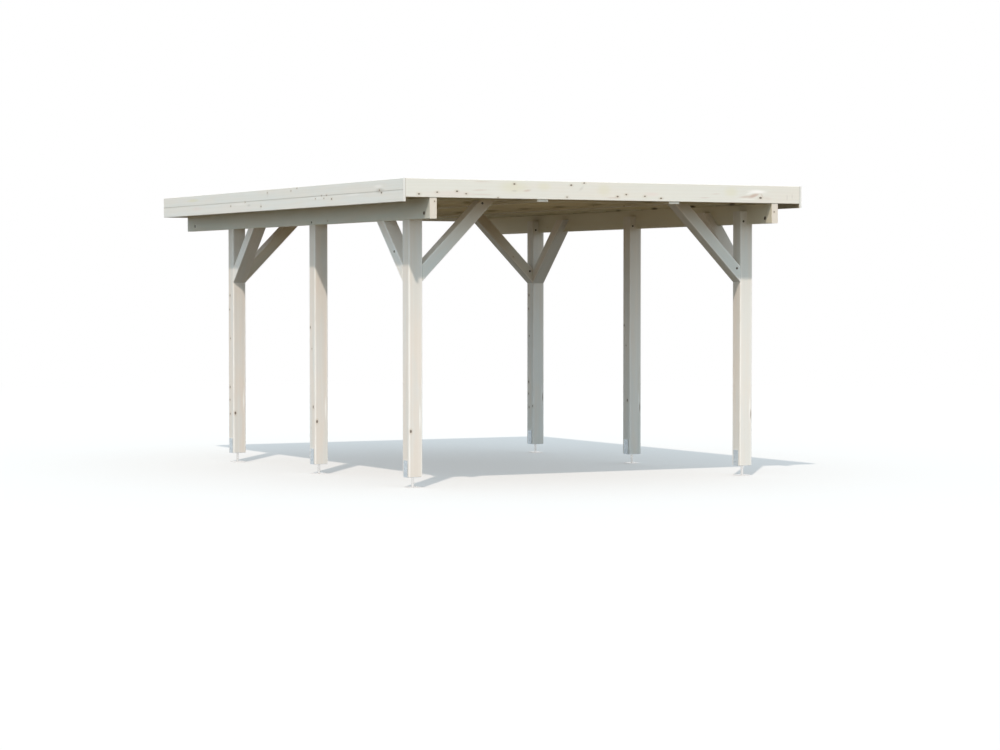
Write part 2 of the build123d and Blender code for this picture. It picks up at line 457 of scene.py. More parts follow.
def post_streaks(side):
    """The pale streak on every front face, and the narrow knot on those of the right posts."""
    made = []
    for row in POST_ROWS:
        low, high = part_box(f"post_{row}_{side}")
        made.append(((high.x - PALE_IN, low.y, PALE_UP), LEVEL, PALE_REACH, PALE, 0.95))
        if side == "right":
            made.append(((high.x - NARROW_IN, low.y, NARROW_UP[row]), LEVEL, NARROW_REACH,
                         NARROW_BROWN, 0.62))
    return made


# %% Dress the posts
POST_WHITES = {"left": ((0.830, 0.777, 0.722), (0.790, 0.790, 0.770)),
               "right": (WARM_WHITE, COOL_WHITE)}
PAINTED_SHADE_TONE = (0.560, 0.530, 0.440)
PAINTED_SHADE_FROM = 0.90
post_half = (post_high.x - post_low.x) / 2
for side, seed in (("left", 4.0), ("right", 1.5)):
    upright = timber_finish(f"planed_timber_posts_{side}",
                            *set_apart(f"post_front_{side}", f"post_middle_{side}"), *GRAIN_Z, seed,
                            POST_WHITES[side], knots=0.02, placed=post_knots(side),
                            streaks=post_streaks(side), half=(post_half, post_half))
    # Painted shade: darker towards the top of the posts, and more by their tongues.
    tone_along(upright, "Z", PAINTED_SHADE_FROM, beam_low.z, PAINTED_SHADE_TONE, 0.18)
    tone_along(upright, "Z", beam_low.z - 0.08, beam_low.z + 0.03, PAINTED_SHADE_TONE, 0.40)
    dress([f"post_{row}_{side}" for row in POST_ROWS], upright)

# %% Dress the beams
BEAM_KNOTS = [((beam_low.x, -0.660, beam_low.z + 0.026), 0.004),
              ((beam_low.x + 0.042, beam_low.y, beam_low.z + 0.134), 0.005),
              ((-beam_high.x, 1.286, beam_low.z + 0.041), 0.004),
              ((-beam_high.x + 0.0235, beam_low.y, beam_low.z + 0.094), 0.006)]
# The beams' whites are darker and greyer than the posts', as painted shade.
BEAM_SHADED_WHITES = ((0.645, 0.645, 0.570), (0.605, 0.637, 0.578))
BEAM_ENDS = ((0.790, 0.715, 0.635), 0.80)
INNER_PAINTED_LIGHT = (0.775, 0.700, 0.530)
lengthwise = timber_finish("planed_timber_beams", *set_apart("side_beam_left", "side_beam_right"),
                           *GRAIN_Y, 2.3, BEAM_SHADED_WHITES, knots=0.01, placed=BEAM_KNOTS, ends=BEAM_ENDS)
# Painted warm light on the inner faces of the beams.
tone_inside(lengthwise, -beam_high.x, 0.005, INNER_PAINTED_LIGHT, 0.50)
dress(["side_beam_left", "side_beam_right"], lengthwise)

# %% [markdown]
# ## Bolt pockets
# Near each end of a beam a round pocket is drilled in from both faces, so that the nut and washer of
# a bolt lie below the surface. The CAD has the pockets. Their walls are bare wood in shade, so the
# finish gets a dark ring wall there, partly bare wood and partly painted shade: a point is in a
# pocket when it is close to the pocket's axis and nearer to the beam's middle than its faces are.

# %% Darken the drilled pockets
POCKET_R, POCKET_DEEP = 0.015, 0.012
POCKET_FROM_FRONT, POCKET_FROM_BACK, POCKET_UP = 0.103, 0.192, 0.045
# The pocket wall is bare wood and painted shade together.
DRILLED_AND_SHADED = (0.150, 0.120, 0.085)
beam_middle, beam_half = middle_of("side_beam_right").x, (beam_high.x - beam_low.x) / 2
pocket_ys = (beam_low.y + POCKET_FROM_FRONT, beam_high.y - POCKET_FROM_BACK)
pocket_z = beam_low.z + POCKET_UP
at = object_place(lengthwise.node_tree)
off_middle = abs(abs(axes(at)["X"]) - beam_middle)
below_face = between(off_middle, beam_half - 0.0002, beam_half - 0.0012)
for y in pocket_ys:
    to_axis = calculate("LENGTH", (at - (0.0, y, pocket_z)) * (0.0, 1.0, 1.0))
    overlay(lengthwise, DRILLED_AND_SHADED, below_face, between(to_axis, POCKET_R + 0.0008, POCKET_R + 0.0002))
print("pockets at y", [round(y, 3) for y in pocket_ys], "z", round(pocket_z, 3))

# %% Dress the braces
SLOPE = math.sqrt(0.5)
BRACE_HALF = (0.060, 0.048)
# The braces' whites are darker and bluer than the posts', as painted shade.
BRACE_WHITES = ((0.800, 0.795, 0.755), (0.770, 0.805, 0.790))
# how strong the painted edge highlight is on each side's cross braces
BRACE_EDGE_HIGHLIGHTS = {"left": 0.25, "right": 0.75}
# Painted shade towards the roof, on the faces that look down and, warmer, towards the back; painted light
# on the faces that look up.
PAINTED_ROOF_SHADE, PAINTED_BRACE_UNDER_SHADE = (0.420, 0.320, 0.190), (0.450, 0.470, 0.460)
PAINTED_BACK_WARMTH, PAINTED_UP_LIGHT = (0.600, 0.380, 0.080), (0.970, 0.910, 0.850)
ROOF_SHADE_FROM = 0.22    # below the beams


def brace_middle(name, lean):
    """The middle of a brace: its box's middle lies on its lower edge, so half the brace's depth
    is added across it. lean is the level direction in which the brace rises."""
    across = Vector((-lean[0], -lean[1], 1.0)).normalized()
    return tuple(middle_of(name) + across * BRACE_HALF[1])


def brace_tones(finish, roof_shade, up_light, back_warmth=0.0):
    """Painted shade: browner towards the roof, warmer towards the back if asked, grey on the faces that
    look down. Painted light: paler on the faces that look up.
    """
    tone_along(finish, "Z", beam_low.z - ROOF_SHADE_FROM, beam_high.z, PAINTED_ROOF_SHADE, roof_shade)
    if back_warmth:
        tone_along(finish, "Y", -0.5, 0.5, PAINTED_BACK_WARMTH, back_warmth)
    tone_facing(finish, -1, PAINTED_BRACE_UNDER_SHADE, 0.50)
    tone_facing(finish, 1, PAINTED_UP_LIGHT, up_light)


for side, way in (("left", 1), ("right", -1)):
    names = [f"cross_brace_front_{side}", f"cross_brace_back_{side}"]
    turn = (0.0, math.radians(90 - 45 * way), 0.0)
    finish = timber_finish(f"planed_timber_cross_brace_{side}", brace_middle(names[0], (way, 0)),
                           set_apart(*names)[1], turn, (way * SLOPE, 0.0, SLOPE), 3.0 + 1.5 * way,
                           BRACE_WHITES, half=BRACE_HALF, highlight_share=BRACE_EDGE_HIGHLIGHTS[side])
    brace_tones(finish, 0.50, 0.88, back_warmth=0.18)
    dress(names, finish)
for place, way in (("front", 1), ("back", -1)):
    names = [f"side_brace_{place}_left", f"side_brace_{place}_right"]
    turn = (math.radians(45 * way - 90), 0.0, -QUARTER)
    finish = timber_finish(f"planed_timber_side_brace_{place}", brace_middle(names[0], (0, way)),
                           set_apart(*names)[1], turn, (0.0, way * SLOPE, SLOPE), 7.0 + way,
                           half=BRACE_HALF)
    brace_tones(finish, 0.30, 0.90)
    dress(names, finish)

# %% [markdown]
# ## Fascia boards
# The front has one tall board. The sides and the back have two narrower ones, edge on edge. The
# rounding that the CAD gives their edges makes the dark line between them, and on the left a grey
# streak of painted shade deepens it. The front and the left boards have knots in known places, and
# those of the others fall where the grain group puts them. Near the right end of the front board the
# grain swirls round a knot: a reddish streak rises to it and a pale one lies over it. Elsewhere the
# stain took unevenly and left soft patches. The inner faces of the side boards get a dark painted
# shade. Places are in millimetres along the board and up from its lower edge.

# %% Knots of the fascia: along, up, radius
FRONT_KNOTS = [(-1709, 24, 6), (-1551, 40, 5), (-1378, 50, 6), (-1298, 32, 5), (-1017, 5, 4),
               (-871, 116, 6), (-396, 20, 4), (-358, 116, 6), (-239, 135, 5), (70, 32, 6),
               (151, 49, 5), (325, 38, 5), (477, 24, 6), (1438, 43, 8)]
LEFT_KNOTS = [(-2223, 79, 7), (-2185, 100, 5), (-1262, 59, 6), (-1159, 92, 4), (-1106, 69, 4),
              (-1058, 91, 4), (-935, 70, 4), (-547, 170, 4), (-420, 152, 4), (94, 152, 4),
              (238, 39, 5), (600, 87, 4), (935, 61, 5)]

# %% Streaks of the fascia: along, up, lean in degrees, half length, half width, colour, percent
REDDISH, ROSY = (0.560, 0.400, 0.330), (0.800, 0.700, 0.660)
YELLOWISH, GREYED = (0.740, 0.720, 0.520), (0.420, 0.400, 0.370)
WHOLE_LENGTH = FAR * 1000
FRONT_STREAKS = [
    (1298, 50, 4, 100, 14, REDDISH, 45), (1374, 61, 18, 78, 21, REDDISH, 72),
    (1450, 66, -50, 30, 12, REDDISH, 30), (1405, 94, 0, 125, 22, PALE, 100),
    (1335, 80, 12, 60, 12, PALE, 60), (1505, 40, -8, 70, 20, REDDISH, 14),
    (1300, 30, 0, 130, 10, PALE, 40), (-1421, 30, 0, 280, 40, ROSY, 50),
    (-1180, 62, 3, 90, 12, REDDISH, 26), (-1154, 130, 0, 110, 8, REDDISH, 26),
    (-1158, 28, 0, 150, 10, REDDISH, 26), (-874, 92, 0, 190, 70, YELLOWISH, 40),
    (-871, 62, 0, 36, 12, GREYED, 28), (-756, 66, 8, 50, 13, REDDISH, 42),
    (-604, 100, 0, 90, 50, YELLOWISH, 34), (-265, 90, 40, 40, 16, GREYED, 22),
    (-56, 83, 0, 90, 70, YELLOWISH, 34), (32, 21, 0, 90, 10, REDDISH, 30),
    (393, 55, 0, 110, 26, ROSY, 45), (893, 36, 2, 70, 9, REDDISH, 24),
    (1004, 69, 3, 60, 9, REDDISH, 20), (1149, 87, 0, 100, 60, YELLOWISH, 36),
    (1701, 50, 90, 34, 10, GREYED, 22), (1751, 58, 90, 34, 10, GREYED, 18)]
LEFT_STREAKS = [
    # The first streak below is painted shade along the joint between the two boards.
    (0, 90, 0, WHOLE_LENGTH, 8, GREYED, 40), (-2166, 131, 0, 120, 20, PALE, 50),
    (-2190, 96, 0, 110, 28, GREYED, 50), (-1691, 80, 0, 200, 10, PALE, 55),
    (-980, 78, 0, 220, 20, PALE, 30), (90, 140, 90, 40, 30, GREYED, 16),
    (240, 45, 90, 40, 30, GREYED, 18), (515, 56, 0, 60, 15, GREYED, 30),
    (720, 72, 0, 220, 20, PALE, 30), (1767, 60, 0, 160, 30, ROSY, 32),
    (1851, 137, 0, 200, 22, YELLOWISH, 46)]
print(len(FRONT_KNOTS), "knots on the front board,", len(LEFT_KNOTS), "on the left boards")


# %% Marks on a board
def board_marks(name, axis, knots, streaks):
    """Places of a board's knots and streaks, from its box's low corner: along an axis and up."""
    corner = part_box(name)[0]

    def place(along, up):
        made = [corner.x, corner.y, corner.z + up / 1000]
        made[axis] = along / 1000
        return tuple(made)

    spots = [(place(along, up), size / 1000) for along, up, size in knots]
    soft = []
    for along, up, lean, long, wide, colour, percent in streaks:
        turn, reach = [0.0, 0.0, 0.0], [0.05, 0.05, wide / 1000]
        turn[1 - axis] = math.radians(lean) * (1 if axis else -1)
        reach[axis] = long / 1000
        soft.append((place(along, up), tuple(turn), tuple(reach), colour, percent / 100))
    return {"placed": spots, "streaks": soft}


# %% Dress the fascia
FRONT_WHITES = ((0.806, 0.782, 0.724), (0.790, 0.790, 0.742))
SIDE_WHITES = ((0.812, 0.800, 0.762), (0.785, 0.806, 0.788))
FASCIA_ENDS = ((0.780, 0.780, 0.755), 0.85)
PAINTED_BOARD_SHADE = (0.330, 0.265, 0.170)
front_finish = timber_finish("fascia_timber_front", *set_apart("fascia_front", "fascia_front"),
                             *GRAIN_X, 11.0, FRONT_WHITES, line=0.08, ends=FASCIA_ENDS,
                             **board_marks("fascia_front", 0, FRONT_KNOTS, FRONT_STREAKS))
dress(["fascia_front"], front_finish)
left_marks = board_marks("fascia_left_lower", 1, LEFT_KNOTS, LEFT_STREAKS)
inner_face = -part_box("fascia_left_lower")[1].x
for side, knots, marks in (("left", 0.0, left_marks), ("right", 0.20, {})):
    finish = timber_finish(f"fascia_timber_{side}",
                           *set_apart("fascia_left_lower", "fascia_right_upper"), *GRAIN_Y, 12.0,
                           SIDE_WHITES, knots=knots, ends=FASCIA_ENDS, **marks)
    # Painted shade on the inner faces of the side boards.
    tone_inside(finish, inner_face, 0.004, PAINTED_BOARD_SHADE, 0.80)
    dress([f"fascia_{side}_upper", f"fascia_{side}_lower"], finish)
back_finish = timber_finish("fascia_timber_back", *set_apart("fascia_back_lower", "fascia_back_upper"),
                            *GRAIN_X, 13.0, SIDE_WHITES, knots=0.20, ends=FASCIA_ENDS)
dress(["fascia_back_upper", "fascia_back_lower"], back_finish)

# %% [markdown]
# ## Roof timber
# Above the beams the wood got one thin coat only. The rafters, ties, battens and the undersides of
# the roof boards show more of the pine, so the recipe is the same with darker, yellower colours that
# are partly painted warm shade, a stronger line and more knots, and it hardly shines. The ties and
# battens are darker than the rafters as painted shade, and the faces of rafters and battens that look
# down get more. A painted shadow darkens the rafters where they stand on the beams, and another lies
# on the front tie near the right post. The battens' sawn front ends are paler.

# %% Dress the roof timbers
# The yellower, darker whites are partly the thin coat over pine and partly painted warm shade; the ties
# and battens are darker still, as painted shade.
SHADED_PINE_WHITES = ((0.810, 0.775, 0.625), (0.760, 0.740, 0.625))
TIE_WHITES = ((0.620, 0.580, 0.450), (0.580, 0.560, 0.450))
BATTEN_WHITES = ((0.710, 0.665, 0.525), (0.670, 0.645, 0.525))
# Painted shade on the faces that look down, and painted shadows where the rafters stand on the beams and
# on the front tie.
PAINTED_TIMBER_UNDER_SHADE, PAINTED_CORNER_SHADE = (0.330, 0.295, 0.215), (0.040, 0.025, 0.012)
CORNER_X, CORNER_Y, CORNER_REACH = 1.583, -1.100, (0.052, 1.900, 0.020)
THIN_COAT = {"line": 0.14, "knots": 0.14, "rough": 0.72, "shine": 0.05}
corner_shadows = [((side * CORNER_X, CORNER_Y, beam_high.z + 0.006), LEVEL, CORNER_REACH, PAINTED_CORNER_SHADE, 0.78)
           for side in (-1, 1)]
tie_shadow = ((1.410, -2.200, beam_high.z + 0.002), LEVEL, (0.055, 0.100, 0.016), PAINTED_CORNER_SHADE, 0.95)


def dress_roof_timbers(kind, names, grain, seed, whites, dust_and_shade=0.0, **more):
    """Gives roof timbers the thin coat, with painted shade by a share on the faces that look down."""
    finish = timber_finish(f"roof_timber_{kind}", *set_apart(*names[:2]), *grain, seed, whites,
                           **THIN_COAT, **more)
    if dust_and_shade:
        tone_facing(finish, -1, PAINTED_TIMBER_UNDER_SHADE, dust_and_shade)
    dress(names, finish)


dress_roof_timbers("rafters", sorted(n for n in nodes if n.startswith("rafter_")), GRAIN_X, 21.0,
                   SHADED_PINE_WHITES, dust_and_shade=0.20, streaks=corner_shadows)
dress_roof_timbers("ties", ["brace_tie_front", "brace_tie_back"], GRAIN_X, 22.0, TIE_WHITES,
                   streaks=[tie_shadow])
dress_roof_timbers("battens", ["batten_left", "batten_right"], GRAIN_Y, 23.0, BATTEN_WHITES,
                   dust_and_shade=0.75, ends=(PALE, 0.55))

# %% [markdown]
# ## From arrays to a mesh
# Every new piece is a surface worked out with numpy, as whole arrays of points and of the quads
# between them. Boards, felt and screws are all a row of loops with a flat fill at both ends, so they
# share the quads. Other helpers make a mesh, and a piece that rides on the carport's body.


# %% Mesh helpers
def new_object(name, data):
    """Puts an object with this data into the scene."""
    made = bpy.data.objects.new(name, data)
    bpy.context.scene.collection.objects.link(made)
    return made


def surface(name, points, quads, finish):
    """An object from an (n, 3) array of points and an (m, 4) array of corners."""
    mesh = bpy.data.meshes.new(name)
    mesh.from_pydata(points.tolist(), [], quads.tolist())
    mesh.materials.append(finish)
    return new_object(name, mesh)


def piece(name, made, finish):
    """A piece of the carport, from its points and quads."""
    points, quads = made
    dressed = surface(name, points, quads, finish)
    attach(dressed, "root")
    print(name, len(points), "points", len(quads), "quads")
    return dressed


def ring_quads(rows, columns):
    """Quads of a grid whose columns close into a ring: row r, column c is point r*columns + c."""
    r, c = np.meshgrid(np.arange(rows - 1), np.arange(columns), indexing="ij")
    here, onward = r * columns + c, r * columns + (c + 1) % columns
    return np.stack([here, onward, onward + columns, here + columns], -1).reshape(-1, 4)


def closed_tube(loops):
    """Points and quads of a (rows, columns, 3) array of loops. Quads between points i and
    columns - 1 - i fill the first and the last loop."""
    rows, columns = loops.shape[:2]
    i = np.arange(columns // 2 - 1)
    first = np.stack([i, columns - 1 - i, columns - 2 - i, i + 1], -1)
    last = (rows - 1) * columns + first[:, ::-1]
    return loops.reshape(-1, 3), np.concatenate([ring_quads(rows, columns), first, last])


# %% [markdown]
# ## Roof boards
# Seen from below, the roof is a ceiling of tongued boards with a small V at each joint. The CAD has
# one plain slab there. A slab with a bump texture would do from afar, but the joints show their
# outline at the ends, so the ceiling is one profile carried from front to back, whose lower side
# dips down and up once for every board.

# %% Make the roof boards
BOARDS, V_DEEP = 41, 0.004
board_low, board_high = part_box("roof_boards")
board_width = (board_high.x - board_low.x) / BOARDS


def board_slab(low, high, boards, deep):
    """A loop at the front and at the back end. It runs straight over the top and comes back below
    with four heights for each board: deep, 0, 0, deep at 0, deep, width - deep, width."""
    width = (high.x - low.x) / boards
    x = (low.x + width * np.arange(boards)[:, None] + [0.0, deep, width - deep, width]).ravel()
    z = low.z + np.tile([deep, 0.0, 0.0, deep], boards)
    keep = np.r_[True, np.diff(x) > 1e-6]
    x, z = x[keep], z[keep]
    x, z = np.r_[x, x[::-1]], np.r_[np.full(len(x), high.z), z[::-1]]
    return closed_tube(np.stack([np.stack([x, np.full(len(x), y), z], -1) for y in (low.y, high.y)]))


first_board = (board_low.x + board_width / 2, 0.0, (board_low.z + board_high.z) / 2)
# The boards' yellower whites are partly painted warm shade too.
ceiling_finish = timber_finish("roof_timber_boards", first_board, (board_width, FAR, FAR), *GRAIN_Y,
                               24.0, SHADED_PINE_WHITES, **THIN_COAT)
boards = piece("roof_board_joints", board_slab(board_low, board_high, BOARDS, V_DEEP),
               ceiling_finish)
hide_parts("roof_boards")

# %% [markdown]
# ## Roofing felt
# The roof is covered with bitumen felt in strips just under a metre wide, laid across it, each lapped
# over the one behind by 80 mm and covered with dark grit. The strips' own thickness shows as low
# steps, and a line of bitumen was pressed out along each lap. The surface is a height over a grid: a
# small rise at each lap and a slow unevenness between.

# %% The felt finish
felt_low, felt_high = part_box("roof_felt")
STRIPS = 6
strip_step = (felt_high.y - felt_low.y) / STRIPS
GRIT_DARK, GRIT_PALE = (0.035, 0.036, 0.040), (0.150, 0.150, 0.158)
DUST, BITUMEN = (0.230, 0.222, 0.205), (0.016, 0.016, 0.018)


def felt_finish():
    """Dark grit with pale and dark grains, dusty patches and a glossy line at each lap."""
    made, tree, shader = new_material("roofing_felt_grit")
    at = object_place(tree)
    spot = use_group(place_group, at, Middle=(0.0, felt_low.y, 0.0), Step=(FAR, strip_step, FAR),
                     Seed=31.0)
    grit = node(tree, "TexVoronoi", Vector=at, Scale=420.0)
    grains = node(tree, "SeparateColor", Color=grit["Color"])["Red"]
    dust_and_shade = between(noise(at, (2.2, 1.4, 1.0), 4.0, 0.6), 0.40, 0.72)
    wobble = noise(at, (14.0, 5.0, 1.0)) * 0.016 - 0.008
    bleed = between(abs(axes(spot["Place"])["Y"] + wobble), 0.010, 0.004)
    fill(shader, Base_Color=blend(grains, GRIT_DARK, GRIT_PALE))
    overlay(made, DUST, 0.35, dust_and_shade)
    overlay(made, BITUMEN, bleed)
    rise = (1.0 - grit["Distance"]) * (1.0 - bleed)
    bump = node(tree, "Bump", Strength=0.5, Distance=0.0012, Height=rise)
    fill(shader, Roughness=between(bleed, 0.0, 1.0, 0.92, 0.42), Normal=bump["Normal"])
    return made


# %% Make the felt
LAP_WIDE, LAP_HIGH, LAP_FADE, LAP_END = 0.080, 0.0025, 0.004, 0.002
UNEVEN = 0.0004
COLUMNS, ROWS = 74, 53


def felt_sheet(low, high, strips):
    """Height at (x, y): the felt's top, plus a lap's height in the lap's width in front of each
    line between strips, faded at both ends, plus two crossed sine waves. Each loop goes over the
    felt and back under it."""
    lines = low.y + (high.y - low.y) / strips * np.arange(1, strips)
    breaks = lines[:, None] + np.array([-LAP_WIDE - LAP_FADE, -LAP_WIDE, 0.0, LAP_END])
    y = np.unique(np.concatenate([np.linspace(low.y, high.y, ROWS), breaks.ravel()]))
    xx, yy = np.meshgrid(np.linspace(low.x, high.x, COLUMNS), y)
    past = yy[..., None] - lines
    lap = (np.clip((past + LAP_WIDE + LAP_FADE) / LAP_FADE, 0, 1)
           * np.clip((LAP_END - past) / LAP_END, 0, 1)).sum(-1)
    wave = np.sin(xx * 5.1 + 0.7 * np.sin(yy * 2.3)) * np.sin(yy * 3.7 + 1.1)
    top = high.z - UNEVEN + LAP_HIGH * lap + UNEVEN * wave
    over = np.stack([xx, yy, top], -1)
    under = np.stack([xx, yy, np.full_like(xx, low.z)], -1)[:, ::-1]
    return closed_tube(np.concatenate([over, under], 1))


felt = piece("felt_strips", felt_sheet(felt_low, felt_high, STRIPS), felt_finish())
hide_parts("roof_felt")

# %% [markdown]
# ## Galvanised steel
# The cradles that grip the posts were dipped in zinc. Where it cooled it froze into crystals a few
# millimetres wide, each of a slightly different grey. The stem and the base plate below are turned
# and bright plated, so they reflect the surroundings almost like a mirror. Both belong to one node,
# so one finish has both looks and a height at which the bright one ends.

# %% The zinc finish
BRIGHT_PALE, BRIGHT_DULL = (0.860, 0.850, 0.840), (0.760, 0.750, 0.735)
ZINC_PALE, ZINC_DULL = (0.660, 0.720, 0.760), (0.480, 0.540, 0.590)
BRIGHT_TO = 0.082       # just under the cradle


def zinc_finish(name, pale, dull, crystal, rough, bright_to=-1.0):
    """Zinc: a Voronoi cell a crystal, its random tone in colour and roughness, and a cloud of white
    bloom. Below the height bright_to it is bright plated, with fine turning marks instead."""
    made, tree, shader = new_material(name)
    at = object_place(tree)
    cells = node(tree, "TexVoronoi", Vector=at, Scale=1.0 / crystal)["Color"]
    tone = node(tree, "SeparateColor", Color=cells)["Red"]
    bloom = between(noise(at, (28.0, 28.0, 22.0), 3.0), 0.45, 0.72)
    bright = between(axes(at)["Z"], bright_to + 0.001, bright_to)
    marks = noise(at, (60.0, 60.0, 1400.0))
    fill(shader, Base_Color=blend(tone, dull, pale))
    overlay(made, pale, 0.4, bloom)
    overlay(made, blend(marks, BRIGHT_DULL, BRIGHT_PALE), bright)
    plated_rough = between(marks, 0.3, 0.7, 0.20, 0.34)
    bump = node(tree, "Bump", Strength=0.25, Distance=0.0004, Height=tone + bloom)
    fill(shader, Metallic=between(bright, 0.0, 1.0, 0.85, 0.92),
         Roughness=blend(bright, tone * 0.16 + rough, plated_rough, "FLOAT"), Normal=bump["Normal"])
    return made


dipped = zinc_finish("galvanised_steel_dipped", ZINC_PALE, ZINC_DULL, 0.008, 0.34, BRIGHT_TO)
dress([n for n in nodes if n.startswith("post_foot_")], dipped)

# %% [markdown]
# ## Screws and bolts
# The tongues of the posts are screwed to the beams, the braces to the posts and beams, and the steel
# cradles to the post ends. A beam pocket holds the nut and washer of a bolt. All of these are small
# turned or pressed parts, so one function makes them: a few rings of twelve points round an axis.
# Twelve are enough for a disc this small, they hit the six corners of a hexagon exactly, and they
# make a six-pointed star when every other one is drawn in. A second function copies the finished
# fastener to all its places at once.


# %% Fastener surfaces
def fastener(rows, spokes=12):
    """One fastener on the third axis. A row is radius and height in millimetres, and a shape unless
    it is round. At an angle, the radius is multiplied by 1 for round, by cos 30 / cos(angle to the
    nearest flat's middle) for hex, and by 1 + 0.14 cos(6 angle) for star."""
    radius, height = np.array([row[:2] for row in rows]).T[..., None] / 1000
    angle = 2 * np.pi * np.arange(spokes) / spokes
    sixth = np.pi / 3
    factor = {(): np.ones(spokes),
              ("hex",): np.cos(sixth / 2) / np.cos(angle % sixth - sixth / 2),
              ("star",): 1 + 0.14 * np.cos(6 * angle)}
    reach = radius * np.stack([factor[row[2:]] for row in rows])
    points, quads = closed_tube(np.stack([reach * np.cos(angle), reach * np.sin(angle),
                                          np.broadcast_to(height, reach.shape)], -1))
    return points, quads[:, ::-1]


def set_out(made, spots, turns=0.0):
    """Copies a fastener to every spot, its axis along the level normal there: a point becomes
    place + x * sideways + y * up + z * normal, turned by its own angle about the axis."""
    points, quads = made
    places, normals = np.array(spots, float).transpose(1, 0, 2)
    turns = np.broadcast_to(turns, len(places))[:, None]
    up = np.array([0.0, 0.0, 1.0])
    sideways = np.cross(up, normals)
    x = points[:, 0] * np.cos(turns) - points[:, 1] * np.sin(turns)
    y = points[:, 0] * np.sin(turns) + points[:, 1] * np.cos(turns)
    moved = (places[:, None] + x[..., None] * sideways[:, None] + y[..., None] * up
             + points[None, :, 2:] * normals[:, None])
    shifts = np.arange(len(places))[:, None, None] * len(points)
    return moved.reshape(-1, 3), (quads[None] + shifts).reshape(-1, 4)


SCREW_HEAD = fastener([(2.7, 0.5, "star"), (3.2, 2.7, "star"), (5.0, 3.1), (9.4, 1.8), (10.0, 1.0),
                       (10.0, -0.5)])
HEX_HEAD = fastener([(2.6, 4.4), (4.7, 4.4), (5.4, 3.8, "hex"), (5.4, 1.2, "hex"), (7.5, 0.9),
                     (7.5, -0.3)])
print("a screw head has", len(SCREW_HEAD[1]), "quads, a hex head", len(HEX_HEAD[1]))

# %% [markdown]
# ## Where the screws sit
# Every place is worked out from the CAD boxes. A screw goes through each post's tongue, and at the
# middle posts, which have no braces, one more through the beam. A cross brace has one screw low at
# the post and one high near its inner end. The front left and the back right side braces have one
# from outside. The right posts are screwed from the front and the left posts from the back, as a
# half turn of the whole frame would put them.

# %% Set out the screws
TONGUE_IN, TONGUE_UP, BEAM_SCREW_UP = 0.030, 0.024, 0.021
FOOT_IN, FOOT_UP = 0.034, 0.116
TOP_IN, TOP_DOWN = 0.119, 0.026
SIDE_IN, SIDE_UP = 0.149, 0.240
screws = []
for side, way in (("left", -1), ("right", 1)):
    facing, outward = (0.0, -way, 0.0), (way, 0.0, 0.0)
    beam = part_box(f"side_beam_{side}")
    out, in_, near, far = (0, 1, 1, 0) if way < 0 else (1, 0, 0, 1)
    for row in POST_ROWS:
        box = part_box(f"post_{row}_{side}")
        screws.append(((box[in_].x + way * TONGUE_IN, box[near].y, beam[0].z + TONGUE_UP), facing))
        if row == "middle":
            along = (box[0].y + box[1].y) / 2
            screws.append(((beam[out].x, along, beam[0].z + BEAM_SCREW_UP), outward))
    for row, lean in (("front", 1), ("back", -1)):
        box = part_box(f"cross_brace_{row}_{side}")
        screws.append(((box[out].x - way * FOOT_IN, box[near].y, box[0].z + FOOT_UP), facing))
        screws.append(((box[in_].x + way * TOP_IN, box[far].y, box[1].z - TOP_DOWN), (0.0, way, 0.0)))
        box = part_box(f"side_brace_{row}_{side}")
        if lean != way:
            along = box[0].y + SIDE_IN if lean > 0 else box[1].y - SIDE_IN
            screws.append(((box[out].x, along, box[0].z + SIDE_UP), outward))
print(len(screws), "screws through the timbers")

# %% [markdown]
# The screws are yellowish steel that has dulled outdoors. They take the recipe of the zinc with
# smaller crystals and darker tones. Those of the cradles are zinc like the cradles, two above each
# other on both sides of every post.

# %% Make the screws
DULLED_PALE, DULLED_DARK = (0.160, 0.145, 0.120), (0.060, 0.052, 0.044)
PLATE_SCREWS_UP = (0.120, 0.190)
dulled = zinc_finish("galvanised_steel_screws", DULLED_PALE, DULLED_DARK, 0.002, 0.45)
turns = np.linspace(0.0, 2.9, len(screws)) ** 2
piece("timber_screws", set_out(SCREW_HEAD, screws, turns), dulled)

plate_screws = []
for low, high in [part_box(f"post_foot_{row}_{side}") for side in ("left", "right") for row in POST_ROWS]:
    plate_screws += [((face, (low.y + high.y) / 2, z), (way, 0.0, 0.0))
                     for face, way in ((low.x, -1.0), (high.x, 1.0)) for z in PLATE_SCREWS_UP]
fixing = zinc_finish("galvanised_steel_fixings", ZINC_PALE, ZINC_DULL, 0.003, 0.32)
piece("plate_screws", set_out(HEX_HEAD, plate_screws, 0.4), fixing)

# %% [markdown]
# ## Bolts in the beam pockets
# The washer nearly fills the pocket and the nut stands on it, both below the beam's face. The end
# of the bolt shows in the nut. One fastener has all three: its rings go from the rounded bolt end
# over the nut's flats to the washer's rim.

# %% Make the pocket bolts
POCKET_BOLT = fastener([(2.4, 7.6), (3.6, 7.0), (3.9, 6.2), (6.6, 6.6), (8.3, 5.9, "hex"),
                        (8.3, 2.2, "hex"), (13.2, 2.2), (13.9, 1.7), (13.9, -0.3)])
bolts = [((side * beam_middle + way * (beam_half - POCKET_DEEP), y, pocket_z), (way, 0.0, 0.0))
         for side in (-1.0, 1.0) for y in pocket_ys for way in (-1.0, 1.0)]
piece("pocket_bolts", set_out(POCKET_BOLT, bolts, 0.2), dulled)

# %% Measure once more
low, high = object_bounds()
print("visual box", [round(v, 3) for v in high - low])

# %% [markdown]
# ## Stage and light
# A warm key light stands high to the front left, a weak and very wide one comes level from the
# front, and the pale surroundings fill the shade with a bluish light. The floor fades to white far
# out. It is pale to the camera, to reflections and through glass. To other rays it is as dull as
# paving, so that it doesn't light the roof from below.

